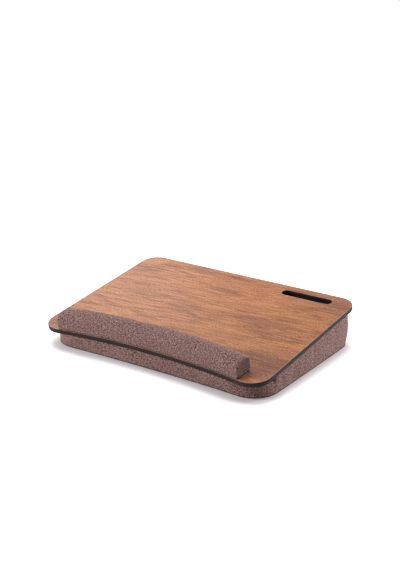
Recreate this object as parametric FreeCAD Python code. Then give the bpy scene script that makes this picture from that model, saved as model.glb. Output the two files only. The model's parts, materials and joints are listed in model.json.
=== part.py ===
"""Lap desk: a laminated board with a padded wrist rest and a phone slot, on a wedge cushion.

Millimetres. X runs to the user's right, Y away from the user, Z up. The origin is on the table, under
the middle of the desk. Board pieces are drawn flat, with y measured back from the board's front line
and z up from its top face, and are then tilted into place.
"""
import FreeCAD, Part
import math
import os

os.makedirs("parts", exist_ok=True)

# board
boardWidth = 435.0
boardDepth = 316.0
frontCornerRadius = 32.0
backCornerRadius = 30.0
frontBelly = 14.0              # how deep the front edge curves in
coreThickness = 7.0
faceThickness = 0.4
backingThickness = 0.3
laminateSetIn = 0.3            # the laminate's eased edge
boardTilt = 6.9                # degrees, the back is higher
frontHeight = 36.5             # top face above the table at the front line

# phone slot
slotLength = 96.0
slotWidth = 18.0
slotFromRight = 38.0           # board's right edge to the slot's end
slotFromBack = 25.2            # board's back edge to the slot's centre line
wellDepth = 8.0                # liner's floor below the board's underside
linerWall = 0.9
linerRelease = 0.5             # the liner's mouth is this much wider than the slot
linerFlange = 6.0
linerClearance = 0.3

# cushion
seamHeight = 3.5               # base seam above the table
topSetIn = 8.5                 # cushion's top edge in from the board's edge
baseSideSetIn = 4.2            # base seam in from the board's edge, at the sides
baseFrontSetIn = 14.6
baseBackSetIn = 9.4
baseBelly = 4.5                # how deep the base seam curves in at the front
topFrontRadius = 60.0
baseFrontRadius = 44.0
topBackRadius = 22.0
baseBackRadius = 28.0
sideCrown = 2.2                # how far the sides swell
baseRounding = 9.0             # width of the round between the seam and the flat base
clothThickness = 1.2
clothClearance = 0.3
glueThickness = 0.5
glueSetIn = 20.0

# wrist rest
restLength = 358.0
restShift = -1.0               # middle of the rest from the middle of the board
restSetIn = 0.4                # in from the board's front edge
restWidth = 42.0               # at the middle
restHeight = 29.6              # above the board, at the middle
restEndNarrowing = 5.0         # how much narrower the rest is at its ends
restEndDrop = 0.5              # how much lower the rest is at its ends
restCrownRadius = 25.0
restShoulderRadius = 11.0
restFootRadius = 1.2
restEndRound = 3.5
restSpans = 12                 # straight spans that follow the front arc
tapeThickness = 0.6
tapeSetIn = 5.0

overrun = 2.0                  # how far a cutting form passes what it cuts

cushionPages = 6               # outlines from the base seam up to the board
crownTurn = 150.0              # degrees of a sine wave over the height of the cushion's side
roundSteps = 3                 # outlines from a seam round to a flat, counted in spans

boardHalf = boardWidth / 2
tilt = math.radians(boardTilt)
coreBottom = -(faceThickness + coreThickness)
boardBottom = coreBottom - backingThickness
clothTop = boardBottom - glueThickness
pageTop = clothTop - clothThickness
boardRun = boardDepth * math.cos(tilt)
slotX = boardHalf - slotFromRight - slotLength / 2
slotY = boardDepth - slotFromBack
middleY = (boardRun - boardBottom * math.sin(tilt)) / 2

# the line where the base seam's plane and the cushion's top plane would meet, in front of the desk
apexRun = (frontHeight + pageTop * math.cos(tilt) - seamHeight) / math.sin(tilt)
apexY = -apexRun * math.cos(tilt) - pageTop * math.sin(tilt)

zero = FreeCAD.Vector(0, 0, 0)
xAxis = FreeCAD.Vector(1, 0, 0)
zAxis = FreeCAD.Vector(0, 0, 1)


def point(x, y, z=0):
    return FreeCAD.Vector(x, y, z)


def frontArc(half, front, cornerRadius, belly):
    """Radius, centre and end of the concave front arc that runs into both corner arcs."""
    cornerX = half - cornerRadius
    reach = (cornerX ** 2 + belly ** 2) / (2 * belly)
    radius = reach - cornerRadius
    centreY = front + belly - radius
    share = radius / reach
    end = point(cornerX * share, centreY + (front + cornerRadius - centreY) * share)
    return radius, centreY, end


def arc(start, through, end):
    return Part.Arc(start, through, end).toShape()


def line(start, end):
    return Part.LineSegment(start, end).toShape()


def cornerPoint(x, y, radius, angle):
    return point(x + radius * math.cos(angle), y + radius * math.sin(angle))


def deskOutline(half, front, back, frontRadius, backRadius, belly):
    """Closed outline of eight edges, flat at z = 0."""
    radius, centreY, end = frontArc(half, front, frontRadius, belly)
    cornerX, cornerY = half - frontRadius, front + frontRadius
    startAngle = math.atan2(end.y - cornerY, end.x - cornerX)
    frontMid = cornerPoint(cornerX, cornerY, frontRadius, startAngle / 2)
    backX, backY = half - backRadius, back - backRadius
    backMid = cornerPoint(backX, backY, backRadius, math.pi / 4)
    frontSide, backSide = point(half, cornerY), point(half, backY)
    backEnd = point(backX, back)

    def mirrored(p):
        return point(-p.x, p.y)

    edges = [
        arc(mirrored(end), point(0, front + belly), end),
        arc(end, frontMid, frontSide),
        line(frontSide, backSide),
        arc(backSide, backMid, backEnd),
        line(backEnd, mirrored(backEnd)),
        arc(mirrored(backEnd), mirrored(backMid), mirrored(backSide)),
        line(mirrored(backSide), mirrored(frontSide)),
        arc(mirrored(frontSide), mirrored(frontMid), mirrored(end)),
    ]
    return Part.Wire(edges)


def boardOutline(setIn):
    return deskOutline(boardHalf - setIn, setIn, boardDepth - setIn,
                       frontCornerRadius - setIn, backCornerRadius - setIn, frontBelly)


def slotOutline(grow):
    """Round-ended slot outline, larger all round by grow."""
    radius = slotWidth / 2 + grow
    run = (slotLength - slotWidth) / 2
    left, right = slotX - run, slotX + run
    edges = [
        line(point(left, slotY - radius), point(right, slotY - radius)),
        arc(point(right, slotY - radius), point(right + radius, slotY), point(right, slotY + radius)),
        line(point(right, slotY + radius), point(left, slotY + radius)),
        arc(point(left, slotY + radius), point(left - radius, slotY), point(left, slotY - radius)),
    ]
    return Part.Wire(edges)


def plate(wire, bottom, top):
    """Solid of an outline, from height bottom to height top."""
    solid = Part.Face(wire).extrude(zAxis * (top - bottom))
    solid.translate(zAxis * bottom)
    return solid


def slotCutter(grow, bottom, top):
    return plate(slotOutline(grow), bottom, top)


def onDesk(shape):
    """Tilts a piece that was drawn on the flat board and sets it over the table."""
    placed = shape.copy()
    placed.rotate(zero, xAxis, boardTilt)
    placed.translate(point(0, -middleY, frontHeight))
    return placed


def onTable(shape):
    """Sets a piece that was drawn over the table, behind the board's front line."""
    placed = shape.copy()
    placed.translate(point(0, -middleY))
    return placed


# board

def boardCore():
    panel = plate(boardOutline(0), coreBottom, -faceThickness)
    return onDesk(panel.cut(slotCutter(0, coreBottom - overrun, overrun)))


def laminate(bottom, top):
    sheet = plate(boardOutline(laminateSetIn), bottom, top)
    return onDesk(sheet.cut(slotCutter(laminateSetIn, bottom - overrun, top + overrun)))


def walnutFace():
    return laminate(-faceThickness, 0)


def backingFace():
    return laminate(boardBottom, coreBottom)


def between(low, high, share):
    return low + (high - low) * share


def quarterTurn(radius, steps):
    """Pairs along a quarter circle: how far along the first side, how far in from the second."""
    turns = [math.pi / 2 * step / steps for step in range(steps + 1)]
    return [(radius * (1 - math.cos(turn)), radius * (1 - math.sin(turn))) for turn in turns]


# wrist rest, drawn as upright sections that follow the board's front arc

def edgeY(x):
    """How far back the board's front edge lies at x."""
    radius, centreY, end = frontArc(boardHalf, 0, frontCornerRadius, frontBelly)
    return centreY + math.sqrt(radius ** 2 - x ** 2)


def restTaper(x):
    """How far the rest has narrowed at x: 0 at its middle and 1 at its ends."""
    return ((x - restShift) / (restLength / 2)) ** 4


def restHalfWidth(x):
    return (restWidth - restEndNarrowing * restTaper(x)) / 2


def restMiddle(x):
    """How far back the middle of the rest lies at x, with its front side along the board's edge."""
    return edgeY(x) + restSetIn + restHalfWidth(x)


def restSection(x, skin):
    """Section of the rest at x, smaller all round by skin: upright sides under a three-centred arch."""
    half, middle = restHalfWidth(x) - skin, restMiddle(x)
    bottom, top = tapeThickness + skin, restHeight - restEndDrop * restTaper(x) - skin
    crown, shoulder = restCrownRadius - skin, restShoulderRadius - skin
    footIn, footUp = half - restFootRadius, bottom + restFootRadius
    crownZ = top - crown
    offset = half - shoulder
    shoulderZ = crownZ + math.sqrt((crown - shoulder) ** 2 - offset ** 2)
    lean = math.atan2(shoulderZ - crownZ, offset)

    def at(side, across, up):
        return point(x, middle + side * across, up)

    def onCircle(side, centre, centreZ, radius, angle):
        return at(side, centre + radius * math.cos(angle), centreZ + radius * math.sin(angle))

    def flank(side):
        """Foot, upright side and shoulder of one side, from the bottom to the crown."""
        return [
            line(at(side, footIn, bottom), at(side, half, footUp)),
            line(at(side, half, footUp), at(side, half, shoulderZ)),
            arc(at(side, half, shoulderZ),
                onCircle(side, offset, shoulderZ, shoulder, lean / 2),
                onCircle(side, offset, shoulderZ, shoulder, lean)),
        ]

    over = arc(onCircle(1, 0, crownZ, crown, lean), at(1, 0, top), onCircle(-1, 0, crownZ, crown, lean))
    under = line(at(-1, footIn, bottom), at(1, footIn, bottom))
    return Part.Wire(flank(1) + [over] + flank(-1)[::-1] + [under])


def restEnds(setIn):
    """The x of the rest's two ends, each in by setIn."""
    return restShift - restLength / 2 + setIn, restShift + restLength / 2 - setIn


def alongRest(left, right):
    """Even places from left to right, close enough to follow the front arc."""
    return [between(left, right, step / restSpans) for step in range(restSpans + 1)]


def restForm(skin):
    """The whole rest as one soft form, smaller all round by skin, with its ends rounded over."""
    left, right = restEnds(skin)
    rounds = quarterTurn(restEndRound, roundSteps)
    sections = [restSection(left + along, skin + inwards) for along, inwards in rounds[:-1]]
    sections += [restSection(x, skin) for x in alongRest(left + restEndRound, right - restEndRound)]
    sections += [restSection(right - along, skin + inwards) for along, inwards in rounds[-2::-1]]
    return Part.makeLoft(sections, True, True)


def restCap(end, inwards):
    """Flat cloth end, sewn into the round of the cover; inwards is 1 at the left and -1 at the right."""
    return Part.Face(restSection(end, restEndRound)).extrude(xAxis * clothThickness * inwards)


def restEndLeft():
    return onDesk(restCap(restEnds(0)[0], 1))


def restEndRight():
    return onDesk(restCap(restEnds(0)[1], -1))


def restCover():
    shell = restForm(0).cut(restForm(clothThickness))
    for end, inwards in zip(restEnds(0), (1, -1)):
        shell = shell.cut(restCap(end, inwards))
    return onDesk(shell)


def restFoam():
    return onDesk(restForm(clothThickness + clothClearance))


def tapeSection(x):
    near = restMiddle(x) - restHalfWidth(x) + tapeSetIn
    far = restMiddle(x) + restHalfWidth(x) - tapeSetIn
    corners = [point(x, near), point(x, far), point(x, far, tapeThickness), point(x, near, tapeThickness)]
    return Part.makePolygon(corners + corners[:1])


def restTape():
    strip = Part.makeLoft([tapeSection(x) for x in alongRest(*restEnds(tapeSetIn))], True, True)
    return onDesk(strip)


# cushion

def swellAt(share):
    """Swell of the cushion's side, as a share of its crown: drawn in at the seam and a little at the top."""
    return math.sin(math.radians(crownTurn) * share)


def cushionPage(share, swell, skin):
    """Outline of the cushion on the plane that lies share of the way from the base seam to the board.

    The planes fan out from the line where the base and the board would meet, like pages of a book.
    """
    grown = skin - sideCrown * swell
    sideSetIn = between(baseSideSetIn, topSetIn, share) + grown
    frontSetIn = between(baseFrontSetIn, topSetIn, share) + grown
    backSetIn = between(baseBackSetIn, topSetIn, share) + grown
    nearBase, farBase = -apexY, boardRun - apexY
    nearTop, farTop = apexRun, boardDepth + apexRun
    page = deskOutline(boardHalf - sideSetIn,
                       between(nearBase, nearTop, share) + frontSetIn,
                       between(farBase, farTop, share) - backSetIn,
                       between(baseFrontRadius, topFrontRadius, share) - skin,
                       between(baseBackRadius, topBackRadius, share) - skin,
                       between(baseBelly, frontBelly, share))
    page.rotate(zero, xAxis, boardTilt * share)
    page.translate(point(0, apexY, seamHeight))
    return page


def wedge(skin):
    """The cushion above its base seam, smaller all round by skin."""
    shares = [page / (cushionPages - 1) for page in range(cushionPages)]
    return Part.makeLoft([cushionPage(share, swellAt(share), skin) for share in shares], True, True)


def basePan(skin):
    """The round and flat base below the seam, smaller all round by skin."""
    depth = seamHeight - skin
    wires = []
    for inner, above in quarterTurn(1, roundSteps):
        wire = cushionPage(0, 0, skin + baseRounding * inner)
        wire.translate(zAxis * (skin + depth * above - seamHeight))
        wires.append(wire)
    return Part.makeLoft(wires, True, True)


def linerCup(grow, bottom):
    return slotCutter(linerRelease + grow, bottom, clothTop)


wellFloor = boardBottom - wellDepth


def cushionFoam():
    skin = clothThickness + clothClearance
    foam = wedge(skin).fuse(basePan(skin)).removeSplitter()
    well = slotCutter(linerRelease + linerWall + linerClearance,
                      wellFloor - linerWall - linerClearance, clothTop + overrun)
    tilted = onDesk(well)
    return onTable(foam).cut(tilted)


def cushionSideBand():
    return onTable(wedge(0).cut(wedge(clothThickness)))


def cushionBaseCloth():
    return onTable(basePan(0).cut(basePan(clothThickness)))


def cushionTopCloth():
    setIn = topSetIn - sideCrown * swellAt(1)
    outline = deskOutline(boardHalf - setIn, setIn, boardDepth - setIn,
                          topFrontRadius, topBackRadius, frontBelly)
    sheet = plate(outline, pageTop, clothTop)
    hole = slotCutter(linerRelease + linerWall + linerClearance, pageTop - overrun, clothTop + overrun)
    return onDesk(sheet.cut(hole))


def slotLiner():
    cup = linerCup(linerWall, wellFloor - linerWall).cut(slotCutter(linerRelease, wellFloor, overrun))
    flange = slotCutter(linerFlange, clothTop, boardBottom)
    flange = flange.cut(slotCutter(linerRelease, clothTop - overrun, overrun))
    return onDesk(cup.fuse(flange).removeSplitter())


def cushionAdhesiveSheet():
    outline = deskOutline(boardHalf - glueSetIn, glueSetIn, boardDepth - glueSetIn,
                          topFrontRadius, topBackRadius, frontBelly)
    sheet = plate(outline, clothTop, boardBottom)
    hole = slotCutter(linerFlange + linerClearance, clothTop - overrun, boardBottom + overrun)
    return onDesk(sheet.cut(hole))


pieces = {
    "board_core": boardCore,
    "walnut_face": walnutFace,
    "backing_face": backingFace,
    "wrist_tape": restTape,
    "wrist_foam": restFoam,
    "wrist_cover": restCover,
    "wrist_end_left": restEndLeft,
    "wrist_end_right": restEndRight,
    "cushion_adhesive_sheet": cushionAdhesiveSheet,
    "cushion_top_cloth": cushionTopCloth,
    "slot_liner": slotLiner,
    "cushion_foam": cushionFoam,
    "cushion_side_band": cushionSideBand,
    "cushion_base_cloth": cushionBaseCloth,
}

for name, build in pieces.items():
    shape = build()
    shape.exportStep("parts/" + name + ".step")
    box = shape.BoundBox
    print(name, len(shape.Solids), "solid", "valid" if shape.isValid() else "INVALID",
          round(shape.Volume), "mm3, z", round(box.ZMin, 2), round(box.ZMax, 2),
          "y", round(box.YMin, 2), round(box.YMax, 2))
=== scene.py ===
import bpy
import json
import math
import numpy as np
from mathutils import Matrix, Vector
from mathutils.bvhtree import BVHTree


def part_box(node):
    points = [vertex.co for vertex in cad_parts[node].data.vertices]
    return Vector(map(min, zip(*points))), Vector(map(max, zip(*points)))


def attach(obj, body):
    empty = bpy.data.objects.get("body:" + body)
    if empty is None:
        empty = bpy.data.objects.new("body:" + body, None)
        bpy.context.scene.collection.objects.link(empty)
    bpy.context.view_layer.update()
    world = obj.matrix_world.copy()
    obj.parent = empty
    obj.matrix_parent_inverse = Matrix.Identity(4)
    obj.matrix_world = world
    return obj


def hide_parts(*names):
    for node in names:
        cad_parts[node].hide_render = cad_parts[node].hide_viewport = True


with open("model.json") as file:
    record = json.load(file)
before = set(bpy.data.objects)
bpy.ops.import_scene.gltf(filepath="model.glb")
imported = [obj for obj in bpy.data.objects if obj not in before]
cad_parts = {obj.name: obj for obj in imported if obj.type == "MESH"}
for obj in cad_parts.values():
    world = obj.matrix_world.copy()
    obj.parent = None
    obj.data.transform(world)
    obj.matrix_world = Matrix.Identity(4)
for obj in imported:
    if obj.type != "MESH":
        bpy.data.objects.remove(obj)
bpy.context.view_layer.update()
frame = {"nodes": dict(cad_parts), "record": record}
nodes = frame["nodes"]
scene = bpy.context.scene
mm = 0.001

# the board's own plane: x to the right, y up the slope, z above the walnut face
worktop = [mount for mount in frame["record"]["mounts"] if mount["name"] == "worktop"][0]
boardTilt = math.atan2(-worktop["axis"][1], worktop["axis"][2])
boardPlane = Matrix.Translation(Vector(worktop["pos_m"])) @ Matrix.Rotation(boardTilt, 4, "X")
toBoard = boardPlane.inverted()
print("frame loaded,", len(nodes), "nodes, board tilted", round(math.degrees(boardTilt), 2))


# camera, floor and light

cameraValues = {
    "eye": (1.0022, -1.4461, 0.7437),
    "heading": (-0.5351, 0.7729, -0.3411),
    "lens": 70.85,
    "longSideSensor": 36.0,
}


def setCamera():
    bpy.ops.object.camera_add(location=cameraValues["eye"])
    camera = bpy.context.object
    camera.rotation_euler = Vector(cameraValues["heading"]).to_track_quat("-Z", "Y").to_euler()
    camera.data.lens = cameraValues["lens"]
    camera.data.sensor_width = cameraValues["longSideSensor"]
    scene.camera = camera


floorValues = {
    "size": 24.0,
    "colour": (0.62, 0.60, 0.61, 1),
    "white": (1, 0.955, 0.98, 1),     # added where the camera looks at open floor
    "shadeReach": 0.038,              # the white fades this close to the desk, where its shadow lies
    "shadeWhite": 0.25,
    "openness": (0.5, 0.95),          # of the floor where the white is least and where it is full
}


def seenDirectly(tree):      # 1 for camera, mirror and glass rays, 0 for the rays that light the desk
    path = tree.nodes.new("ShaderNodeLightPath")
    either = mathNode(tree, "MAXIMUM", path.outputs["Is Camera Ray"], path.outputs["Is Glossy Ray"])
    return mathNode(tree, "MAXIMUM", either, path.outputs["Is Transmission Ray"])


def makeFloor():
    bpy.ops.object.select_all(action="DESELECT")
    bpy.ops.mesh.primitive_plane_add(size=floorValues["size"])
    floor = bpy.context.object
    floor.name = "floor"
    material = bpy.data.materials.new("whiteFloor")
    material.use_nodes = True
    tree = material.node_tree
    tree.nodes.clear()
    openness = tree.nodes.new("ShaderNodeAmbientOcclusion")
    openness.inputs["Distance"].default_value = floorValues["shadeReach"]
    white = mapRange(tree, openness.outputs["AO"], *floorValues["openness"], floorValues["shadeWhite"], 1,
                     smooth=True)
    share = mathNode(tree, "MULTIPLY", white, seenDirectly(tree))
    diffuse = tree.nodes.new("ShaderNodeBsdfDiffuse")
    diffuse.inputs["Color"].default_value = floorValues["colour"]
    glow = tree.nodes.new("ShaderNodeEmission")
    glow.inputs["Color"].default_value = floorValues["white"]
    tree.links.new(share, glow.inputs["Strength"])
    both = tree.nodes.new("ShaderNodeAddShader")
    output = tree.nodes.new("ShaderNodeOutputMaterial")
    tree.links.new(diffuse.outputs[0], both.inputs[0])
    tree.links.new(glow.outputs[0], both.inputs[1])
    tree.links.new(both.outputs[0], output.inputs["Surface"])
    floor.data.materials.append(material)


lampValues = {
    "worldStrength": 0.19,
    "lamps": {
        "overhead": {"at": (-0.45, 0.15, 1.75), "aim": (0, 0, 0), "size": 1.5, "watts": 14.6},
        "leftBack": {"at": (-1.3, 1.15, 0.95), "aim": (0, 0, 0.05), "size": 0.7, "watts": 6.0},
        "rightBack": {"at": (1.1, 1.1, 0.5), "aim": (0, 0, 0.03), "size": 0.9, "watts": 24.5},
        "frontLeft": {"at": (-1.35, -1.35, 0.5), "aim": (0, 0, 0.03), "size": 0.9, "watts": 31.0},
    },
}


def setLight():
    world = bpy.data.worlds.new("studio")
    scene.world = world
    world.use_nodes = True
    tree = world.node_tree
    background = tree.nodes["Background"]
    background.inputs["Color"].default_value = (1, 1, 1, 1)
    strength = mapRange(tree, seenDirectly(tree), 0, 1, lampValues["worldStrength"], 1)
    tree.links.new(strength, background.inputs["Strength"])
    for name, values in lampValues["lamps"].items():
        bpy.ops.object.light_add(type="AREA", location=values["at"])
        lamp = bpy.context.object
        lamp.name = name
        lamp.data.shape = "DISK"
        lamp.data.size = values["size"]
        lamp.data.energy = values["watts"]
        aim = Vector(values["aim"]) - lamp.location
        lamp.rotation_euler = aim.to_track_quat("-Z", "Y").to_euler()
    scene.view_settings.view_transform = "Standard"


# shader building

def mathNode(tree, operation, first, second=None):
    node = tree.nodes.new("ShaderNodeMath")
    node.operation = operation
    for socket, value in zip(node.inputs, (first, second)):
        if isinstance(value, bpy.types.NodeSocket):
            tree.links.new(value, socket)
        elif value is not None:
            socket.default_value = value
    return node.outputs[0]


def mapRange(tree, value, fromLow, fromHigh, toLow, toHigh, smooth=False):
    node = tree.nodes.new("ShaderNodeMapRange")
    node.interpolation_type = "SMOOTHSTEP" if smooth else "LINEAR"
    tree.links.new(value, node.inputs["Value"])
    numbers = {"From Min": fromLow, "From Max": fromHigh, "To Min": toLow, "To Max": toHigh}
    for socket, number in numbers.items():
        node.inputs[socket].default_value = number
    return node.outputs["Result"]


def objectPlace(tree):
    return tree.nodes.new("ShaderNodeTexCoord").outputs["Object"]


def stretched(tree, vector, scale, rotation=(0, 0, 0)):
    node = tree.nodes.new("ShaderNodeMapping")
    node.inputs["Scale"].default_value = scale
    node.inputs["Rotation"].default_value = rotation
    tree.links.new(vector, node.inputs["Vector"])
    return node.outputs["Vector"]


def noise(tree, vector, detail=2.0, roughness=0.5, distortion=0.0):
    node = tree.nodes.new("ShaderNodeTexNoise")
    node.inputs["Scale"].default_value = 1
    node.inputs["Detail"].default_value = detail
    node.inputs["Roughness"].default_value = roughness
    node.inputs["Distortion"].default_value = distortion
    tree.links.new(vector, node.inputs["Vector"])
    return node.outputs["Fac"]


def ramp(tree, value, stops):
    node = tree.nodes.new("ShaderNodeValToRGB")
    while len(node.color_ramp.elements) < len(stops):
        node.color_ramp.elements.new(0.5)
    for element, (place, colour) in zip(node.color_ramp.elements, stops):
        element.position = place
        element.color = (*colour, 1)
    tree.links.new(value, node.inputs["Fac"])
    return node.outputs["Color"]


def mixColour(tree, share, first, second, blend="MIX"):
    node = tree.nodes.new("ShaderNodeMix")
    node.data_type = "RGBA"
    node.blend_type = blend
    for socket, value in zip((node.inputs[0], node.inputs[6], node.inputs[7]), (share, first, second)):
        if isinstance(value, bpy.types.NodeSocket):
            tree.links.new(value, socket)
        else:
            socket.default_value = value if isinstance(value, float) else (*value, 1)
    return node.outputs[2]


def bump(tree, height, distance, strength=1.0):
    node = tree.nodes.new("ShaderNodeBump")
    node.inputs["Distance"].default_value = distance
    node.inputs["Strength"].default_value = strength
    tree.links.new(height, node.inputs["Height"])
    return node.outputs["Normal"]


def newMaterial(name, **sockets):
    material = bpy.data.materials.new(name)
    material.use_nodes = True
    shader = material.node_tree.nodes["Principled BSDF"]
    for socket, value in sockets.items():
        shader.inputs[socket.replace("_", " ")].default_value = value
    return material, material.node_tree, shader


# finishes

walnutValues = {
    "light": (0.600, 0.248, 0.104),
    "middle": (0.430, 0.176, 0.084),
    "dark": (0.265, 0.106, 0.058),
    "grey": (0.245, 0.112, 0.082),
    "line": (0.175, 0.068, 0.039),
    "layers": {        # counts per metre along and across the grain, then detail, roughness and distortion
        "patch": ((4.0, 16.0, 1.0), 3, 0.55, 0.7),     # broad light and dark patches
        "figure": ((7.0, 60.0, 1.0), 4, 0.62, 1.9),
        "streak": ((24.0, 380.0, 1.0), 3, 0.6, 0.35),
        "pore": ((40.0, 620.0, 1.0), 2, 0.6),
        "fleck": ((430.0, 260.0, 1.0), 2, 0.5),        # short light and dark flecks
    },
    "grainTurn": math.radians(-2.5),
    "patchStops": (0.34, 0.46, 0.55, 0.68),            # of dark, middle, light and middle again
    "figureStops": (0.36, 0.47, 0.58),                 # of line, middle and light
    "figureShare": 0.5,
    "smokyFigure": (0.54, 0.70),
    "smokyShare": 0.2,
    "smokyCore": 0.3,
    "smokyPlaces": (                                   # greyer stretches of the sheet: place, reach, share
        ((0.175, -0.105, 0.055), 0.075, 0.50),
        ((-0.200, -0.120, 0.055), 0.060, 0.42),
        ((0.190, 0.135, 0.085), 0.045, 0.46),
    ),
    "tints": {                                         # share of each finer layer, and what it multiplies by
        "streak": (0.55, ((0.34, (0.52, 0.47, 0.46)), (0.50, (1, 1, 1)), (0.66, (1.16, 1.15, 1.10)))),
        "pore": (0.6, ((0.36, (0.62, 0.57, 0.56)), (0.50, (1, 1, 1)), (0.68, (1.1, 1.1, 1.1)))),
        "fleck": (0.8, ((0.38, (0.72, 0.71, 0.71)), (0.5, (1, 1, 1)), (0.62, (1.2, 1.2, 1.16)))),
    },
    "roughFrom": (0.3, 0.7),
    "roughness": (0.48, 0.38),
    "poreRelief": 0.05 * mm,
}


def walnutLaminate():
    values = walnutValues
    material, tree, shader = newMaterial("walnutLaminate", Specular_IOR_Level=0.12)
    place = objectPlace(tree)
    flat = stretched(tree, place, (1, 1, 1), (-boardTilt, 0, 0))
    grain = stretched(tree, flat, (1, 1, 1), (0, 0, values["grainTurn"]))
    layers = {name: noise(tree, stretched(tree, grain, scale), *settings)
              for name, (scale, *settings) in values["layers"].items()}
    dark, middle, light = values["dark"], values["middle"], values["light"]
    tone = ramp(tree, layers["patch"], list(zip(values["patchStops"], (dark, middle, light, middle))))
    shade = ramp(tree, layers["figure"], list(zip(values["figureStops"], (values["line"], middle, light))))
    colour = mixColour(tree, values["figureShare"], tone, shade)
    smoky = mapRange(tree, layers["figure"], *values["smokyFigure"], 0, values["smokyShare"])
    colour = mixColour(tree, smoky, colour, values["grey"])
    for smokyPlace, reach, most in values["smokyPlaces"]:
        away = tree.nodes.new("ShaderNodeVectorMath")
        away.operation = "DISTANCE"
        away.inputs[1].default_value = smokyPlace
        tree.links.new(place, away.inputs[0])
        core = values["smokyCore"] * reach
        near = mapRange(tree, away.outputs["Value"], core, reach, most, 0, smooth=True)
        colour = mixColour(tree, near, colour, values["grey"])
    for name, (share, stops) in values["tints"].items():
        colour = mixColour(tree, share, colour, ramp(tree, layers[name], stops), "MULTIPLY")
    tree.links.new(colour, shader.inputs["Base Color"])
    rough = mapRange(tree, layers["streak"], *values["roughFrom"], *values["roughness"])
    tree.links.new(rough, shader.inputs["Roughness"])
    tree.links.new(bump(tree, layers["pore"], values["poreRelief"], 0.5), shader.inputs["Normal"])
    return material


edgeValues = {
    "dark": (0.009, 0.0045, 0.0052),
    "light": (0.029, 0.0165, 0.0180),
    "stops": (0.38, 0.64),
    "fibreScale": (900.0, 900.0, 2600.0),
    "patchScale": (35.0, 35.0, 35.0),
    "relief": 0.12 * mm,
}


def fibreboardEdge():
    values = edgeValues
    material, tree, shader = newMaterial("fibreboardEdge", Roughness=0.6, Specular_IOR_Level=0.15)
    place = objectPlace(tree)
    fibre = noise(tree, stretched(tree, place, values["fibreScale"]), 3, 0.6)
    patch = noise(tree, stretched(tree, place, values["patchScale"]), 2, 0.5)
    both = mathNode(tree, "MULTIPLY", mathNode(tree, "ADD", fibre, patch), 0.5)
    colour = ramp(tree, both, list(zip(values["stops"], (values["dark"], values["light"]))))
    tree.links.new(colour, shader.inputs["Base Color"])
    tree.links.new(bump(tree, fibre, values["relief"], 0.6), shader.inputs["Normal"])
    return material


plainStops = (0.35, 0.65)
plainValues = {                # finishes of one grain in two colours
    "laminateCutAndHighlight": {           # the thin pale line round the board: partly the cut laminate's own lighter colour, partly a painted highlight of the eased edge
        "roughness": 0.5,
        "specular": 0.4,
        "scale": (120.0, 120.0, 120.0),
        "detail": 3,
        "dark": (0.23, 0.155, 0.128),
        "light": (0.38, 0.285, 0.245),
        "relief": 0,
    },
    "backingPaper": {
        "roughness": 0.7,
        "specular": 0.3,
        "scale": (14.0, 420.0, 14.0),
        "detail": 3,
        "dark": (0.022, 0.014, 0.011),
        "light": (0.048, 0.032, 0.026),
        "relief": 0.05 * mm,
    },
    # the tape, and also the dark heels under the rest's caps, which are painted shade
    "gluedTapeAndShadeHeels": {
        "roughness": 0.6,
        "specular": 0.3,
        "scale": (400.0, 400.0, 400.0),
        "detail": 2,
        "dark": (0.010, 0.009, 0.009),
        "light": (0.024, 0.022, 0.021),
        "relief": 0,
    },
}


def plainFinish(name):
    values = plainValues[name]
    material, tree, shader = newMaterial(name, Roughness=values["roughness"],
                                         Specular_IOR_Level=values["specular"])
    grain = noise(tree, stretched(tree, objectPlace(tree), values["scale"]), values["detail"], 0.6)
    colour = ramp(tree, grain, list(zip(plainStops, (values["dark"], values["light"]))))
    tree.links.new(colour, shader.inputs["Base Color"])
    if values["relief"]:
        tree.links.new(bump(tree, grain, values["relief"], 0.5), shader.inputs["Normal"])
    return material


clothValues = {
    "thread": 1.2 * mm,        # from one thread to the next
    "slub": 4.0,               # how many threads long a fleck is
    "tuft": 0.54,              # soft blotches per thread
    "tuftShare": 0.55,
    "dark": (0.076, 0.034, 0.031),
    "body": (0.238, 0.124, 0.111),
    "rose": (0.315, 0.159, 0.140),
    "light": (0.530, 0.350, 0.312),
    "grey": (0.236, 0.160, 0.134),
    "stops": {"dark": 0.44, "body": 0.48, "rose": 0.52, "light": 0.57},
    "dyeScale": 0.33,          # patches where the grey dye took, per thread
    "dyeFrom": (0.50, 0.62),
    "dyeShare": 0.55,
    "cloudScale": 30.0,
    "cloudTint": ((0.3, (0.88, 0.86, 0.86)), (0.7, (1, 1, 1))),
    "ridgeWaver": 0.6,         # of the rows that the threads raise
    "ridgeShare": 0.6,
    "relief": 0.5 * mm,
    "paintedShadeCapsBase": 0.43,          # painted shade: the rest's end caps are darkened for the shadow that falls on them, the base panel for the shade under the seam
    "paintedSeamShadow": 0.28,         # painted shadow: the base seam's roll is darkest, standing in for the contact shadow along the cushion's foot
}


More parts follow.
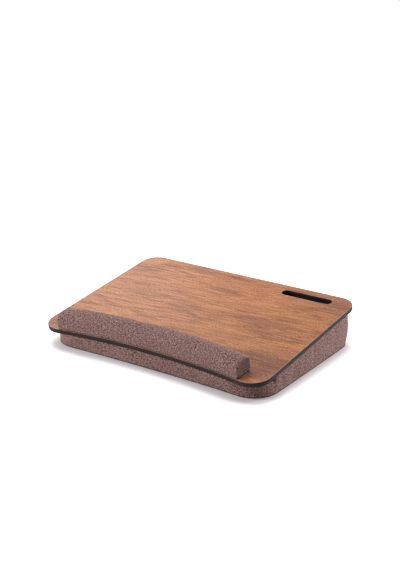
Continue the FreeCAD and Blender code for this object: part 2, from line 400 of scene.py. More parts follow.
def wovenCloth(name, shade=1.0, plain=None):
    values = clothValues
    material, tree, shader = newMaterial(name, Roughness=0.92, Specular_IOR_Level=0.2, Sheen_Weight=0.1,
                                         Sheen_Roughness=0.5, Sheen_Tint=(0.95, 0.82, 0.78, 1))
    palette = {key: tuple(part * shade for part in (plain or values)[key])
               for key in ("dark", "body", "rose", "light", "grey")}
    uv = tree.nodes.new("ShaderNodeTexCoord").outputs["UV"]
    count = 1 / values["thread"]
    threads = stretched(tree, uv, (count, count, 1))
    warp = noise(tree, stretched(tree, threads, (1, 1 / values["slub"], 1)), 1, 0.5)
    weft = noise(tree, stretched(tree, threads, (1 / values["slub"], 1, 1)), 1, 0.5)
    over = tree.nodes.new("ShaderNodeTexChecker")
    over.inputs["Scale"].default_value = 1
    tree.links.new(threads, over.inputs["Vector"])
    top = mixColour(tree, over.outputs["Fac"], warp, weft)
    tuft = noise(tree, stretched(tree, threads, (values["tuft"], values["tuft"], 1)), 2, 0.7)
    speck = mathNode(tree, "ADD", mathNode(tree, "MULTIPLY", top, 1 - values["tuftShare"]),
                     mathNode(tree, "MULTIPLY", tuft, values["tuftShare"]))
    colour = ramp(tree, speck, [(stop, palette[key]) for key, stop in values["stops"].items()])
    dye = noise(tree, stretched(tree, threads, (values["dyeScale"], values["dyeScale"], 1)), 1, 0.5)
    dyed = mapRange(tree, dye, *values["dyeFrom"], 0, values["dyeShare"])
    colour = mixColour(tree, dyed, colour, palette["grey"])
    cloud = noise(tree, stretched(tree, uv, (values["cloudScale"], values["cloudScale"], 1)), 2, 0.5)
    colour = mixColour(tree, 1.0, colour, ramp(tree, cloud, values["cloudTint"]), "MULTIPLY")
    tree.links.new(colour, shader.inputs["Base Color"])
    across, along = tree.nodes.new("ShaderNodeTexWave"), tree.nodes.new("ShaderNodeTexWave")
    across.bands_direction, along.bands_direction = "X", "Y"
    for wave in (across, along):
        wave.inputs["Scale"].default_value = math.tau / 20    # one ridge to a thread
        wave.inputs["Distortion"].default_value = values["ridgeWaver"]
        tree.links.new(threads, wave.inputs["Vector"])
    ridge = mixColour(tree, over.outputs["Fac"], across.outputs["Fac"], along.outputs["Fac"])
    height = mathNode(tree, "ADD", mathNode(tree, "MULTIPLY", ridge, values["ridgeShare"]), speck)
    tree.links.new(bump(tree, height, values["relief"], 0.8), shader.inputs["Normal"])
    return material


foamValues = {
    "dark": (0.50, 0.46, 0.38),
    "light": (0.72, 0.69, 0.61),
    "cells": 900.0,            # per metre
    "relief": 0.3 * mm,
}


def openFoam():
    values = foamValues
    material, tree, shader = newMaterial("openFoam", Roughness=0.95, Specular_IOR_Level=0.2)
    cells = tree.nodes.new("ShaderNodeTexVoronoi")
    cells.inputs["Scale"].default_value = values["cells"]
    tree.links.new(objectPlace(tree), cells.inputs["Vector"])
    colour = ramp(tree, cells.outputs["Distance"], [(0.0, values["dark"]), (0.7, values["light"])])
    tree.links.new(colour, shader.inputs["Base Color"])
    tree.links.new(bump(tree, cells.outputs["Distance"], values["relief"], 0.7), shader.inputs["Normal"])
    return material


# near-black cloth as painted shade: it lines the slot's pocket and covers the top panel under the board,
# where only shade shows
shadeDarkCloth = {"dark": (0.012, 0.009, 0.009), "body": (0.022, 0.017, 0.017), "rose": (0.028, 0.022, 0.021),
             "light": (0.046, 0.038, 0.037), "grey": (0.030, 0.027, 0.027)}
finishes = {}


def mixFinishes():
    finishes["walnut"] = walnutLaminate()
    finishes["laminateCutAndHighlight"] = plainFinish("laminateCutAndHighlight")
    finishes["edge"] = fibreboardEdge()
    finishes["backing"] = plainFinish("backingPaper")
    finishes["cloth"] = wovenCloth("mottledCloth")
    # a darker copy of the cloth: painted shade on the rest's end caps and the cushion's base panel
    finishes["shadedClothCapsBase"] = wovenCloth("mottledClothPaintedShade", clothValues["paintedShadeCapsBase"])
    # a darkest copy of the cloth: painted shadow along the cushion's foot
    finishes["seamShadowCloth"] = wovenCloth("mottledClothSeamShadow", clothValues["paintedSeamShadow"])
    # near-black cloth: painted shade in the slot and under the board
    finishes["shadeCloth"] = wovenCloth("plainDarkClothShade", 1.0, shadeDarkCloth)
    finishes["foam"] = openFoam()
    finishes["tape"] = plainFinish("gluedTapeAndShadeHeels")
    print("finishes mixed:", len(finishes))


# modelling steps that several pieces share

rowGap = 0.02 * mm                       # what lies this close to a plane is in the row of edges cut there


def pick(piece):
    bpy.ops.object.select_all(action="DESELECT")
    piece.select_set(True)
    bpy.context.view_layer.objects.active = piece


def copyNode(nodeName, name):
    piece = bpy.data.objects.new(name, nodes[nodeName].data.copy())
    scene.collection.objects.link(piece)
    piece.data.materials.clear()
    pick(piece)
    bpy.ops.object.mode_set(mode="EDIT")
    bpy.ops.mesh.select_all(action="SELECT")
    bpy.ops.mesh.remove_doubles(threshold=0.01 * mm)
    bpy.ops.object.mode_set(mode="OBJECT")
    return piece


def copyPiece(source, name):
    piece = bpy.data.objects.new(name, source.data.copy())
    scene.collection.objects.link(piece)
    return piece


def places(piece):
    flat = np.empty(len(piece.data.vertices) * 3)
    piece.data.vertices.foreach_get("co", flat)
    return flat.reshape(-1, 3)


def setPlaces(piece, values):
    piece.data.vertices.foreach_set("co", values.reshape(-1))
    piece.data.update()


def onBoard(values):                     # the same places measured on the board's own plane
    return (np.c_[values, np.ones(len(values))] @ np.array(toBoard).T)[:, :3]


def fromBoard(values):
    return (np.c_[values, np.ones(len(values))] @ np.array(boardPlane).T)[:, :3]


def vertexNormals(piece):
    flat = np.empty(len(piece.data.vertices) * 3)
    piece.data.vertices.foreach_get("normal", flat)
    return flat.reshape(-1, 3)


def sewingPattern(nodeNames, plane=Matrix()):    # the surface that the cloth was cut to, for casting rays at
    corners, faces = [], []
    for name in nodeNames:
        mesh = nodes[name].data
        faces += [[index + len(corners) for index in face.vertices] for face in mesh.polygons]
        corners += [plane @ vertex.co for vertex in mesh.vertices]
    return BVHTree.FromPolygons(corners, faces)


def clearSelection(piece, kind):         # ends in object mode, where edges or faces can be marked
    pick(piece)
    bpy.ops.object.mode_set(mode="EDIT")
    bpy.ops.mesh.select_mode(type=kind)
    bpy.ops.mesh.select_all(action="DESELECT")
    bpy.ops.object.mode_set(mode="OBJECT")


def selectFaces(piece, wanted):          # wanted takes the faces' middles and normals
    clearSelection(piece, "FACE")
    faces = piece.data.polygons
    middles, normals = np.empty(len(faces) * 3), np.empty(len(faces) * 3)
    faces.foreach_get("center", middles)
    faces.foreach_get("normal", normals)
    faces.foreach_set("select", wanted(middles.reshape(-1, 3), normals.reshape(-1, 3)))
    bpy.ops.object.mode_set(mode="EDIT")


def selectEdges(piece, wanted):          # wanted takes the vertices' places; an edge needs both its ends
    clearSelection(piece, "EDGE")
    ends = np.empty(len(piece.data.edges) * 2, dtype=np.int32)
    piece.data.edges.foreach_get("vertices", ends)
    chosen = wanted(places(piece))[ends].reshape(-1, 2).all(axis=1)
    piece.data.edges.foreach_set("select", chosen)
    bpy.ops.object.mode_set(mode="EDIT")


def cutAcross(piece, at, normal):        # a clean row of edges where the plane meets the piece
    pick(piece)
    bpy.ops.object.mode_set(mode="EDIT")
    bpy.ops.mesh.select_mode(type="VERT")
    bpy.ops.mesh.select_all(action="SELECT")
    bpy.ops.mesh.bisect(plane_co=at, plane_no=normal)
    bpy.ops.object.mode_set(mode="OBJECT")


def partMade(piece, name):
    bpy.ops.mesh.separate(type="SELECTED")
    bpy.ops.object.mode_set(mode="OBJECT")
    part = [made for made in bpy.context.selected_objects if made != piece][0]
    part.name = name
    return part


def splitOff(piece, wanted, name):
    selectFaces(piece, wanted)
    return partMade(piece, name)


def addModifier(piece, kind, **settings):
    pick(piece)
    modifier = piece.modifiers.new(kind.lower(), kind)
    for key, value in settings.items():
        setattr(modifier, key, value)
    bpy.ops.object.modifier_apply(modifier=modifier.name)


def thicken(piece, thickness):
    addModifier(piece, "SOLIDIFY", thickness=thickness, offset=-1, use_even_offset=True)


def grow(piece, distance):
    addModifier(piece, "DISPLACE", strength=distance, mid_level=0)


def smoothShade(piece, angle=35):
    pick(piece)
    bpy.ops.object.shade_smooth_by_angle(angle=math.radians(angle))


def joinFlat(piece, facing):             # the flat stretch that faces this way becomes one face
    selectFaces(piece, lambda middles, normals: normals @ np.array(facing) > 0.9999)
    bpy.ops.mesh.dissolve_faces()
    bpy.ops.object.mode_set(mode="OBJECT")


def finishPiece(piece, finish, slot, *replaced):
    piece.data.materials.clear()
    piece.data.materials.append(finishes[finish])
    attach(piece, "root")
    if replaced:
        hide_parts(*replaced)
    return piece


def unwrap(piece, where, total=0.0):     # where holds each vertex's place on the cloth, in metres
    mesh = piece.data
    layer = mesh.uv_layers.new(name="cloth")
    corners = np.empty(len(mesh.loops), dtype=np.int32)
    mesh.loops.foreach_get("vertex_index", corners)
    values = where[corners]
    if total:                            # a face over the strip's join takes the numbers of one side
        counts = np.empty(len(mesh.polygons), dtype=np.int32)
        mesh.polygons.foreach_get("loop_total", counts)
        starts = np.r_[0, np.cumsum(counts)[:-1]]
        spread = np.maximum.reduceat(values[:, 0], starts) - np.minimum.reduceat(values[:, 0], starts)
        values[:, 0] += np.where(np.repeat(spread > total / 2, counts) & (values[:, 0] < total / 2), total, 0)
    layer.data.foreach_set("uv", values.reshape(-1))


# board: fibreboard panel, walnut laminate on top, backing paper below

boardValues = {
    "panelEase": 0.45 * mm,
    "laminateEase": 0.12 * mm,
    "laminateRim": 0.55 * mm,  # width of the pale rim on the laminate, partly its cut colour and partly painted highlight
    "easeSteps": 2,
    "flatWithin": math.radians(0.5),
    "sharpFrom": math.radians(50),
}


def easeEdges(piece, width, steps):
    pick(piece)
    bpy.ops.object.mode_set(mode="EDIT")
    bpy.ops.mesh.select_all(action="SELECT")
    bpy.ops.mesh.dissolve_limited(angle_limit=boardValues["flatWithin"])
    bpy.ops.mesh.select_mode(type="EDGE")
    bpy.ops.mesh.select_all(action="DESELECT")
    bpy.ops.mesh.edges_select_sharp(sharpness=boardValues["sharpFrom"])
    bpy.ops.mesh.bevel(offset=width, segments=steps, affect="EDGES")
    bpy.ops.object.mode_set(mode="OBJECT")
    smoothShade(piece)


def makeBoard():
    panel = copyNode("board_core", "boardPanel")
    easeEdges(panel, boardValues["panelEase"], boardValues["easeSteps"])
    finishPiece(panel, "edge", "fibreboard", "board_core")
    sheet = copyNode("walnut_face", "walnutSheet")
    easeEdges(sheet, boardValues["laminateEase"], boardValues["easeSteps"])
    finishPiece(sheet, "walnut", "walnut_laminate", "walnut_face")
    sheet.data.materials.append(finishes["laminateCutAndHighlight"])
    boardUp = np.array(worktop["axis"])
    selectFaces(sheet, lambda middles, normals: normals @ boardUp > 0.999)
    bpy.ops.mesh.inset(thickness=boardValues["laminateRim"], use_even_offset=True)
    bpy.ops.object.mode_set(mode="OBJECT")
    for face in sheet.data.polygons:
        face.material_index = 0 if face.select else 1
    print("board made:", len(panel.data.polygons), "and", len(sheet.data.polygons), "faces")


# padded forms

def puffUp(piece, values, held):
    before = places(piece)
    group = piece.vertex_groups.new(name="held")
    for index, weight in enumerate(held(before)):
        group.add([index], float(weight), "REPLACE")
    pick(piece)
    cloth = piece.modifiers.new("cover", "CLOTH")
    cloth.settings.vertex_group_mass = group.name
    cloth.settings.use_pressure = True
    cloth.settings.uniform_pressure_force = values["pressure"]
    cloth.settings.effector_weights.gravity = 0
    cloth.settings.tension_stiffness = values["stiffness"]
    cloth.settings.compression_stiffness = values["stiffness"]
    cloth.settings.shrink_min = -values["slack"]
    cloth.collision_settings.use_collision = False
    for step in range(1, values["steps"] + 1):
        scene.frame_set(step)
    bpy.ops.object.modifier_apply(modifier=cloth.name)
    scene.frame_set(1)
    piece.vertex_groups.clear()
    move = places(piece) - before
    length = np.linalg.norm(move, axis=1, keepdims=True)
    soft = values["cap"] * np.tanh(length / values["cap"])
    setPlaces(piece, before + move * soft / np.maximum(length, 1e-9))
    print(piece.name, "swells by up to", round(float(soft.max()) / mm, 2), "mm")


def remesh(piece, size):
    pick(piece)
    piece.data.remesh_voxel_size = size
    piece.data.use_remesh_fix_poles = False
    bpy.ops.object.voxel_remesh()


def seamRoll(source, name, radius, wanted):      # a rolled seam along the row of edges that wanted picks
    selectEdges(source, wanted)
    bpy.ops.mesh.duplicate()
    roll = partMade(source, name)
    pick(roll)
    bpy.ops.object.mode_set(mode="EDIT")
    bpy.ops.mesh.select_all(action="SELECT")
    bpy.ops.mesh.subdivide(number_cuts=1)
    bpy.ops.object.mode_set(mode="OBJECT")
    bpy.ops.object.convert(target="CURVE")
    roll.data.bevel_depth = radius
    roll.data.bevel_resolution = 2
    roll.data.use_fill_caps = True
    bpy.ops.object.convert(target="MESH")
    smoothShade(roll, 60)
    return roll


def gather(piece, runs, pitch, depth):   # the small puckers that stitches draw into a rolled seam
    wave = np.sin(runs * math.tau / pitch) * depth
    setPlaces(piece, places(piece) + vertexNormals(piece) * wave[:, None])


# cushion: foam wedge in a cover of a side strip, a base panel and a top panel

cushionValues = {
    "voxel": 4.0 * mm,
    "pressure": 4.0,
    "stiffness": 15.0,
    "slack": 0.012,
    "steps": 20,
    "cap": 1.8 * mm,
    "clothThickness": 1.1 * mm,
    "coverOut": 1.5 * mm,      # outside of the cover from the foam
    "seamHeight": 3.5 * mm,
    "seamReach": 7.0 * mm,     # how far up the side the seam draws the cloth out
    "seamFade": 1.5,
    "seamRadius": 0.7 * mm,
    "gluedDepth": 2.0 * mm,    # of the wedge's top that the board holds still
    "sewnHeight": 5.0 * mm,    # and of its foot that the base panel holds
    "footFlat": 0.8 * mm,      # what is lower than this lies flat on the table
    "stitchPitch": 5.2 * mm,
    "stitchDepth": 0.06 * mm,
    "hemReach": 6.0 * mm,      # how far down the side the top hem's waves reach
    "hemWave": 0.35 * mm,
    "hemPitch": 41.0 * mm,
    "hemBeat": 3.7,            # waves from one crowding to the next
    "puckerDepth": 8.2 * mm,   # one pucker under the board's front right corner
    "puckerWidth": 2.8 * mm,
    "puckerReach": 24.0 * mm,
    "puckerInside": 1.8,       # the filling draws back this many times as far
    "puckerPlace": (0.2150, -0.1080),
    "eased": (                 # where the filling leaves the cover a little slack: place, reach, depth
        ((-0.2100, -0.1200), 34 * mm, 2.6 * mm),
        ((0.2050, 0.1400), 30 * mm, 2.2 * mm),
        ((0.1300, -0.1500), 65 * mm, 1.7 * mm),
    ),
    "easeHeight": 40.0 * mm,   # from here up this share of the slack is left
    "easeAbove": 0.5,
    "slotRadius": 10.7 * mm,
    "slotHalfRun": 39.0 * mm,
    "pocketHalfDepth": 12.0 * mm,
    "pocketGap": 0.3 * mm,
    "pocketMargin": 3.0 * mm,
    "pocketRim": 0.2 * mm,
    "roundSteps": 10,
    "roundShare": 0.998,       # of the radius, so that the two rounds of an end don't meet
    "smoothAngle": 60,
    "fill": 0.85,
}
topOfFoam = onBoard(places(nodes["cushion_foam"]))[:, 2].max()
topOfCloth = onBoard(places(nodes["cushion_top_cloth"]))[:, 2].max()


def fillPocket(piece):                   # closes the foam's phone pocket, so that the cover starts whole
    low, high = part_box("slot_liner")
    reach = cushionValues["pocketMargin"]
    chosen = {vertex.index for vertex in piece.data.vertices
              if low[0] - reach < vertex.co.x < high[0] + reach
              and low[1] - reach < vertex.co.y < high[1] + reach
              and vertex.co.z > low[2] - reach}
    underRim = topOfFoam - cushionValues["pocketRim"]
    wall = np.array([chosen.issuperset(face.vertices) and (toBoard @ face.center).z < underRim
                     for face in piece.data.polygons])
    selectFaces(piece, lambda middles, normals: wall)
    bpy.ops.mesh.delete(type="FACE")
    bpy.ops.mesh.select_mode(type="EDGE")
    bpy.ops.mesh.select_non_manifold(extend=False)
    bpy.ops.mesh.edge_face_add()
    bpy.ops.object.mode_set(mode="OBJECT")


def cushionHeld(spots):                  # glued under the board, sewn along the base seam, flat on the table
    glued = onBoard(spots)[:, 2] > topOfFoam - cushionValues["gluedDepth"]
    sewn = spots[:, 2] < cushionValues["sewnHeight"]
    return np.where(glued | sewn, 1.0, 0.0)


def drawToSeam(cover):                   # draws the cloth out to the line that it is sewn along
    values = cushionValues
    pattern = sewingPattern(("cushion_side_band", "cushion_base_cloth"))
    top = values["seamHeight"] + values["seamReach"]
    far, nearby, lowest = 1.0, 0.02, 0.2 * mm
    spots = places(cover)
    for index in np.flatnonzero((spots[:, 2] < top) & (spots[:, 2] > lowest)):
        x, y, z = spots[index]
        outwards = Vector((x, y, 0)).normalized()
        hit = pattern.ray_cast(Vector((0, 0, z)) + outwards * far, -outwards)[0]
        if hit is None or abs(hit.xy.length - math.hypot(x, y)) > nearby:
            continue
        share = min(1, (top - z) / values["seamReach"]) ** values["seamFade"]
        spots[index, :2] += (np.array(hit.xy) - (x, y)) * share
    setPlaces(cover, spots)


def seamRun(spots):                      # how far round the cushion a place lies, from the middle of the back
    angles = np.arctan2(spots[:, 0], -spots[:, 1])
    order = np.argsort(angles)
    angles, line = angles[order], spots[order, :2]
    runs = np.r_[0, np.cumsum(np.linalg.norm(np.diff(line, axis=0), axis=1))]
    total = runs[-1] + np.linalg.norm(line[0] - line[-1])

    def runAt(values):
        return np.interp(np.arctan2(values[:, 0], -values[:, 1]), angles, runs)

    return runAt, float(total)


def waveHem(piece, runAt, deeper=1.0):   # the side strip's top hem, not quite even under the board
    values = cushionValues
    flat = onBoard(places(piece))
    runs = runAt(places(piece))
    below = flat[:, 2].max() - flat[:, 2]
    turns = runs * math.tau / values["hemPitch"]
    wave = 0.5 + 0.5 * np.sin(turns + 2 * np.sin(turns / values["hemBeat"]))
    hem = values["hemWave"] * wave * np.clip(1 - below / values["hemReach"], 0, 1) ** 2
    place = float(runAt(np.array([values["puckerPlace"]]))[0])
    beside = np.exp(-((runs - place) / values["puckerWidth"]) ** 2)
    pucker = values["puckerDepth"] * deeper * beside * np.clip(1 - below / values["puckerReach"], 0, 1)
    flat[:, 2] -= hem + pucker
    setPlaces(piece, fromBoard(flat))


def easeCorners(piece):
    values = cushionValues
    spots = places(piece)
    for place, reach, depth in values["eased"]:
        inwards = -np.array(place) / np.linalg.norm(place)
        away = np.linalg.norm(spots[:, :2] - place, axis=1)
        upwards = 1 - (1 - values["easeAbove"]) * np.clip(spots[:, 2] / values["easeHeight"], 0, 1)
        spots[:, :2] += inwards * (depth * upwards * np.exp(-(away / reach) ** 2))[:, None]
    setPlaces(piece, spots)


def pocketCutter():                      # a block with round ends, where the pocket hangs
    values = cushionValues
    low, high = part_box("slot_liner")
    middle = toBoard @ ((low + high) / 2)
    radius, halfDepth = values["slotRadius"], values["pocketHalfDepth"]
    bpy.ops.object.select_all(action="DESELECT")
    bpy.ops.mesh.primitive_cube_add(size=1)
    cutter = bpy.context.object
    cutter.name = "pocketCutter"
    setPlaces(cutter, places(cutter) * 2 * (values["slotHalfRun"] + radius, radius, halfDepth))
    clearSelection(cutter, "EDGE")
    for edge in cutter.data.edges:
        first, second = [cutter.data.vertices[index].co for index in edge.vertices]
        edge.select = abs(first.z - second.z) > halfDepth
    bpy.ops.object.mode_set(mode="EDIT")
    bpy.ops.mesh.bevel(offset=radius * values["roundShare"], segments=values["roundSteps"], affect="EDGES")
    bpy.ops.object.mode_set(mode="OBJECT")
    pocketFloor = onBoard(places(nodes["slot_liner"]))[:, 2].min() - values["pocketGap"]
    setPlaces(cutter, fromBoard(places(cutter) + (middle.x, middle.y, pocketFloor + halfDepth)))
    return cutter


def padCushion():                        # the filling, and the cover that starts from the same wedge
    values = cushionValues
    cover = copyNode("cushion_foam", "cushionSideStrip")
    fillPocket(cover)
    remesh(cover, values["voxel"])
    puffUp(cover, values, cushionHeld)
    foam = copyPiece(cover, "cushionFoamPad")
    easeCorners(foam)
    addModifier(cover, "SUBSURF", levels=1, render_levels=1)
    grow(cover, values["coverOut"])
    flat = onBoard(places(cover))
    flat[:, 2] = np.minimum(flat[:, 2], topOfCloth)
    spots = fromBoard(flat)
    spots[:, 2] = np.where(spots[:, 2] < values["footFlat"], 0, spots[:, 2])
    setPlaces(cover, spots)
    cutAcross(cover, (0, 0, values["seamHeight"]), (0, 0, 1))
    drawToSeam(cover)
    easeCorners(cover)
    return cover, foam


def makeCushion():
    values = cushionValues
    cover, foam = padCushion()
    seam, topRow = values["seamHeight"], topOfCloth - values["clothThickness"]
    cutAcross(cover, boardPlane @ Vector((0, 0, topRow)), worktop["axis"])
    runAt, total = seamRun(places(cover)[np.abs(places(cover)[:, 2] - seam) < rowGap])
    roll = seamRoll(cover, "cushionBaseSeam", values["seamRadius"],
                    lambda spots: np.abs(spots[:, 2] - seam) < rowGap)
    base = splitOff(cover, lambda middles, normals: middles[:, 2] < seam, "cushionBasePanel")
    top = splitOff(cover, lambda middles, normals: onBoard(middles)[:, 2] > topRow, "cushionTopPanel")
    waveHem(cover, runAt)
    waveHem(foam, runAt, values["puckerInside"])
    joinFlat(base, (0, 0, -1))
    joinFlat(top, worktop["axis"])
    for panel in (cover, base, top):
        thicken(panel, values["clothThickness"])
    for pocketed in (top, foam):
        cutter = pocketCutter()
        addModifier(pocketed, "BOOLEAN", operation="DIFFERENCE", object=cutter, solver="EXACT")
        bpy.data.objects.remove(cutter)
    gather(roll, runAt(places(roll)), values["stitchPitch"], values["stitchDepth"])
    for piece in (cover, roll):
        unwrap(piece, np.c_[runAt(places(piece)), places(piece)[:, 2]], total)
    for piece in (base, top):
        unwrap(piece, places(piece)[:, :2])
    for piece in (cover, base, top, foam):
        smoothShade(piece, values["smoothAngle"])
    finishPiece(cover, "cloth", "cloth", "cushion_side_band")
    # painted shade: the base panel is cut from the darker cloth
    finishPiece(base, "shadedClothCapsBase", "cloth", "cushion_base_cloth")
    # painted shade: the top panel under the board is near-black
    finishPiece(top, "shadeCloth", "base_cloth", "cushion_top_cloth")
    # the seam roll's darkest cloth is painted shadow along the foot
    finishPiece(roll, "seamShadowCloth", "cloth")
    finishPiece(foam, "foam", "foam", "cushion_foam")
    print("cushion made:", [len(piece.data.polygons) for piece in (cover, base, top, roll, foam)], "faces")


pocketValues = {
    "ease": 0.3 * mm,
    "easeSteps": 2,
}


def makePocket():
    pocket = copyNode("slot_liner", "slotPocket")
    easeEdges(pocket, pocketValues["ease"], pocketValues["easeSteps"])
    spots = onBoard(places(pocket))
    unwrap(pocket, np.c_[spots[:, 0] + spots[:, 1], spots[:, 2]])
    # the pocket's near-black lining is painted shade in the slot
    finishPiece(pocket, "shadeCloth", "base_cloth", "slot_liner")


# wrist rest: foam in a cover that is sewn to two end caps

restValues = {
    "voxel": 2.6 * mm,
    "pressure": 3.0,
    "stiffness": 15.0,
    "slack": 0.01,
    "steps": 20,
    "cap": 1.2 * mm,
    "clothThickness": 1.1 * mm,
    "coverOut": 1.5 * mm,
    "stuckHeight": 2.5 * mm,   # of the foot that the tape holds still
    "footReach": 9.0 * mm,     # how far up from the board the foot draws the cover out
    "endReach": 9.0 * mm,      # how far in from the ends the sewn caps draw it out
    "drawFade": 0.7,
    "facing": (0.85, 0.5),     # cloth that faces along the rest by the first isn't drawn, by the second it is
    "endCut": 1.0 * mm,        # the caps are sewn in this far from the rest's ends
    "capIn": 0.9 * mm,         # how far the caps lie behind the ends
    "capLift": 2.7 * mm,       # the ends stand this far above the board, and the dark heels of painted shade show under them
    "liftReach": 4.5 * mm,
    "rollFrom": 3.0 * mm,      # the rolled end seams start at this height
    "foamIn": 0.3 * mm,        # between the filling and the caps
    "endDrop": 1.6 * mm,       # the filling is a little slack at both ends
    "endDropReach": 22.0 * mm,
    "heelLength": 3.2 * mm,    # a dark block under each cap: painted shade of the gap under the rest's ends
    "heelIn": 0.15 * mm,
    "heelHeight": 2.4 * mm,
    "heelSetIn": 0.8 * mm,
    "heelEase": 0.3 * mm,
    "seamRadius": 0.9 * mm,
    "stitchPitch": 4.6 * mm,
    "stitchDepth": 0.13 * mm,
    "wrapRadius": 22.0 * mm,   # of the round that the cover is wrapped over
    "wrapCentre": 8.0 * mm,    # height of its middle over the board
    "smoothAngle": 60,
    "fill": 0.9,
}
tapeTop = onBoard(places(nodes["wrist_tape"]))[:, 2].max()
restLow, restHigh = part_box("wrist_cover")


def restHeld(spots):                     # stuck down along its foot
    flat = onBoard(spots)
    return np.where(flat[:, 2] < flat[:, 2].min() + restValues["stuckHeight"], 1.0, 0.0)


def fromRestEnd(flat):                   # how far in from the nearer end of the rest
    return np.minimum(flat[:, 0] - restLow.x, restHigh.x - flat[:, 0])


def restLine():                          # where the middle of the rest lies on the board, from left to right
    spots = onBoard(places(nodes["wrist_foam"]))
    sameStation, wholeWidth = 0.2 * mm, 25 * mm
    stations, middles = [], []
    for station in np.unique(np.round(spots[:, 0], 4)):
        across = spots[np.abs(spots[:, 0] - station) < sameStation, 1]
        if across.max() - across.min() > wholeWidth:
            stations.append(station)
            middles.append((across.max() + across.min()) / 2)
    return stations, middles


def wrapRest(spots):                     # cloth coordinates: along the rest, and round it from the crown
    stations, middles = restLine()
    flat = onBoard(spots)
    across = flat[:, 1] - np.interp(flat[:, 0], stations, middles)
    turn = np.arctan2(across, flat[:, 2] - restValues["wrapCentre"])
    return np.c_[flat[:, 0], turn * restValues["wrapRadius"]]


def drawToRest(cover):                   # draws the cloth out to its cut shape, at the foot and the ends
    values = restValues
    pattern = sewingPattern(("wrist_cover", "wrist_end_left", "wrist_end_right"), toBoard)
    stations, middles = restLine()
    squarely = np.abs(vertexNormals(cover)[:, 0])
    flat = onBoard(places(cover))
    flat[:, 0] = np.clip(flat[:, 0], restLow.x + values["capIn"], restHigh.x - values["capIn"])
    inFrom = fromRestEnd(flat)
    foot = np.clip(1 - (flat[:, 2] - tapeTop) / values["footReach"], 0, 1)
    end = np.clip(1 - inFrom / values["endReach"], 0, 1)
    most, least = values["facing"]
    share = np.maximum(foot, end) ** values["drawFade"] * np.clip((most - squarely) / (most - least), 0, 1)
    far = 60 * mm
    for index in np.flatnonzero(share > 0):
        x, y, z = flat[index]
        middle = Vector((x, np.interp(x, stations, middles), values["wrapCentre"]))
        outwards = (Vector((x, y, z)) - middle).normalized()
        hit = pattern.ray_cast(middle + outwards * far, -outwards)[0]
        if hit is not None:
            flat[index] += (np.array(hit) - flat[index]) * share[index]
    lift = np.clip(1 - inFrom / values["liftReach"], 0, 1)
    flat[:, 2] = np.maximum(flat[:, 2], tapeTop + (values["capLift"] - tapeTop) * lift)
    setPlaces(cover, fromBoard(flat))


def dropEnds(piece):
    flat = onBoard(places(piece))
    share = np.clip(1 - fromRestEnd(flat) / restValues["endDropReach"], 0, 1) ** 2
    share *= np.clip(flat[:, 2] / flat[:, 2].max(), 0, 1)
    flat[:, 2] -= restValues["endDrop"] * share
    setPlaces(piece, fromBoard(flat))


# a dark block under a cap, in the tape's finish: painted shade of the gap between the rest's end and the
# board
def makeShadeHeel(name, cap, side):           # side is -1 for the left end and 1 for the right
    values = restValues
    spots = onBoard(places(cap))
    front, back = spots[:, 1].min() + values["heelSetIn"], spots[:, 1].max() - values["heelSetIn"]
    outer = np.abs(spots[:, 0]).max() - values["heelIn"]
    bpy.ops.object.select_all(action="DESELECT")
    bpy.ops.mesh.primitive_cube_add(size=1)
    heel = bpy.context.object
    heel.name = name
    middle = (side * (outer - values["heelLength"] / 2), (front + back) / 2, values["heelHeight"] / 2)
    size = (values["heelLength"], back - front, values["heelHeight"])
    setPlaces(heel, fromBoard(places(heel) * size + middle))
    addModifier(heel, "BEVEL", width=values["heelEase"], segments=2)
    smoothShade(heel)
    finishPiece(heel, "tape", "adhesive_tape")


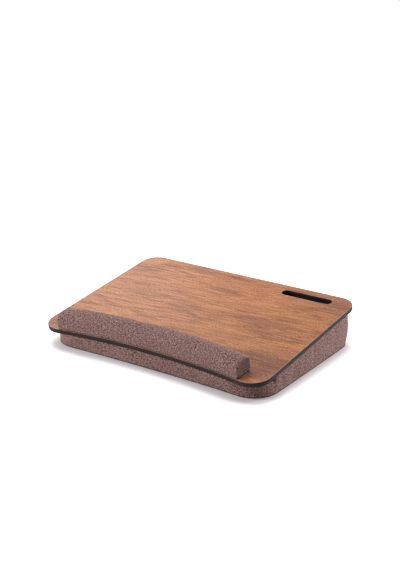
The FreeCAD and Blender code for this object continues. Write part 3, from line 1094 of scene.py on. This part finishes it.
def padRest():                           # the filling, and the cover that starts from the same form
    values = restValues
    cover = copyNode("wrist_foam", "restCover")
    remesh(cover, values["voxel"])
    puffUp(cover, values, restHeld)
    foam = copyPiece(cover, "restFoamPad")
    inside = values["capIn"] + values["clothThickness"] + values["foamIn"]
    spots = places(foam)
    spots[:, 0] = np.clip(spots[:, 0], restLow.x + inside, restHigh.x - inside)
    setPlaces(foam, spots)
    dropEnds(foam)
    addModifier(cover, "SUBSURF", levels=1, render_levels=1)
    grow(cover, values["coverOut"])
    flat = onBoard(places(cover))
    flat[:, 2] = np.maximum(flat[:, 2], tapeTop)
    setPlaces(cover, fromBoard(flat))
    drawToRest(cover)
    dropEnds(cover)
    return cover, foam


def makeRest():
    values = restValues
    cover, foam = padRest()
    rolls, caps = [], []
    for side, at in (("Left", restLow.x + values["endCut"]), ("Right", restHigh.x - values["endCut"])):
        cutAcross(cover, (at, 0, 0), (1, 0, 0))
        rolls.append(seamRoll(cover, "restSeam" + side, values["seamRadius"],
                              lambda spots: (np.abs(spots[:, 0] - at) < rowGap)
                              & (onBoard(spots)[:, 2] > values["rollFrom"])))
        caps.append(splitOff(cover, lambda middles, normals: (middles[:, 0] - at) * math.copysign(1, at) > 0,
                             "restCap" + side))
    # dark heels under the caps: painted shade
    makeShadeHeel("restShadeHeelLeft", caps[0], -1)
    makeShadeHeel("restShadeHeelRight", caps[1], 1)
    for panel in [cover] + caps:
        thicken(panel, values["clothThickness"])
    for piece in [cover, foam] + caps:
        smoothShade(piece, values["smoothAngle"])
    unwrap(cover, wrapRest(places(cover)))
    finishPiece(cover, "cloth", "cloth", "wrist_cover")
    finishPiece(foam, "foam", "foam", "wrist_foam")
    # the caps take the darker cloth, which is painted shade
    for cap, node in zip(caps, ("wrist_end_left", "wrist_end_right")):
        unwrap(cap, places(cap)[:, 1:])
        finishPiece(cap, "shadedClothCapsBase", "cloth", node)
    for roll in rolls:
        along = places(roll) @ np.array([0, 1, 1])
        gather(roll, along, values["stitchPitch"], values["stitchDepth"])
        unwrap(roll, np.c_[along, places(roll)[:, 0]])
        finishPiece(roll, "cloth", "cloth")
    print("wrist rest made:", [len(piece.data.polygons) for piece in [cover, foam] + caps + rolls], "faces")


# the pieces that keep the frame's own shape

carriedFinishes = {
    "backing_face": "backing",
    "wrist_tape": "tape",
    "cushion_adhesive_sheet": "tape",
}


def finishCarried():
    for name, finish in carriedFinishes.items():
        nodes[name].data.materials.clear()
        nodes[name].data.materials.append(finishes[finish])


def main():
    setCamera()
    makeFloor()
    setLight()
    mixFinishes()
    makeBoard()
    makeCushion()
    makePocket()
    makeRest()
    finishCarried()


main()
